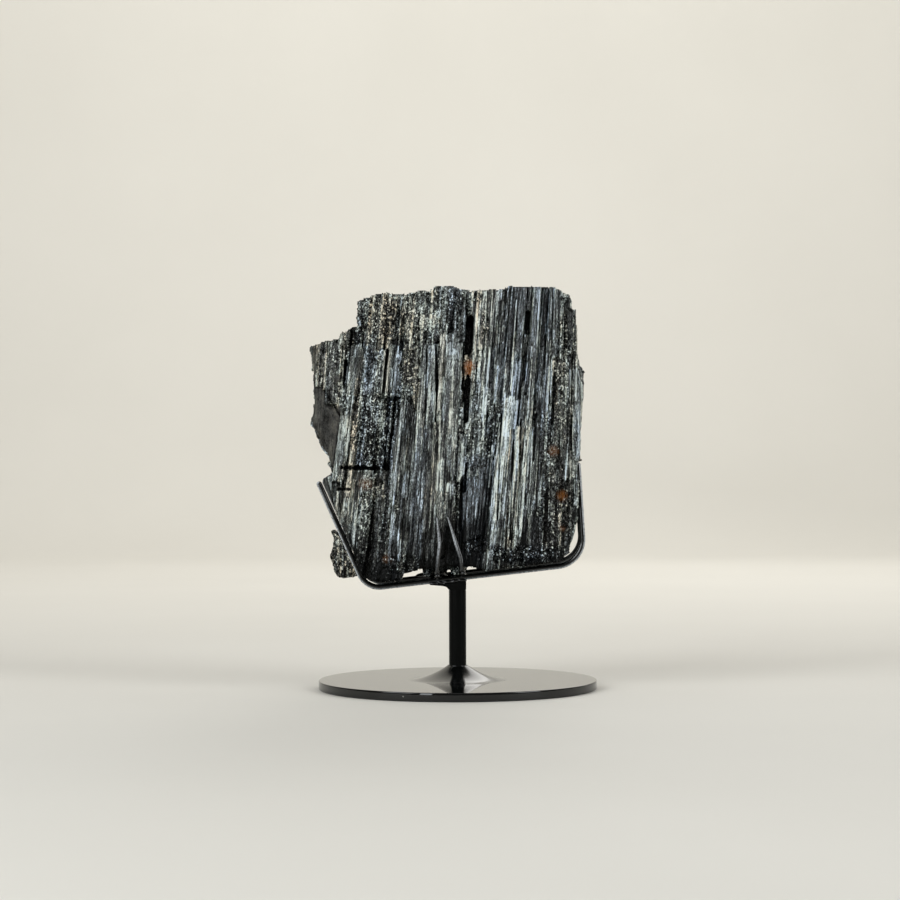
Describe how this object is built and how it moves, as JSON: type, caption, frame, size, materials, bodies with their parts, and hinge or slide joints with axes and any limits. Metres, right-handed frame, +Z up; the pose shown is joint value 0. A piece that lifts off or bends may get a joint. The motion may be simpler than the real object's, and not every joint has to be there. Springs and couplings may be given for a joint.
{
  "type": "black tourmaline mineral specimen on stand",
  "caption": "Mass of long black tourmaline crystals held upright in a black rod cradle on a stem and a flat round base.",
  "frame": {"origin": "centre of the round base's underside, on the surface that it stands on", "axes": "+Z up along the stem and the crystals, +X to the right of the stone's display face, +Y towards its back"},
  "size_m": [0.2108, 0.2032, 0.2931],
  "materials": {
    "black_tourmaline": "long striated crystals, glassy on their faces and granular where broken",
    "gloss_black_lacquer": "smooth gloss black lacquer on steel"
  },
  "bodies": {
    "root": {"tourmaline": "black_tourmaline", "base_disc": "gloss_black_lacquer", "flare_collar": "gloss_black_lacquer", "stem": "gloss_black_lacquer", "head_plate": "gloss_black_lacquer", "front_cradle_rod": "gloss_black_lacquer", "rear_cradle_rod": "gloss_black_lacquer", "front_left_prong": "gloss_black_lacquer", "front_right_prong": "gloss_black_lacquer", "rear_left_prong": "gloss_black_lacquer", "rear_right_prong": "gloss_black_lacquer"}
  },
  "joints": []
}
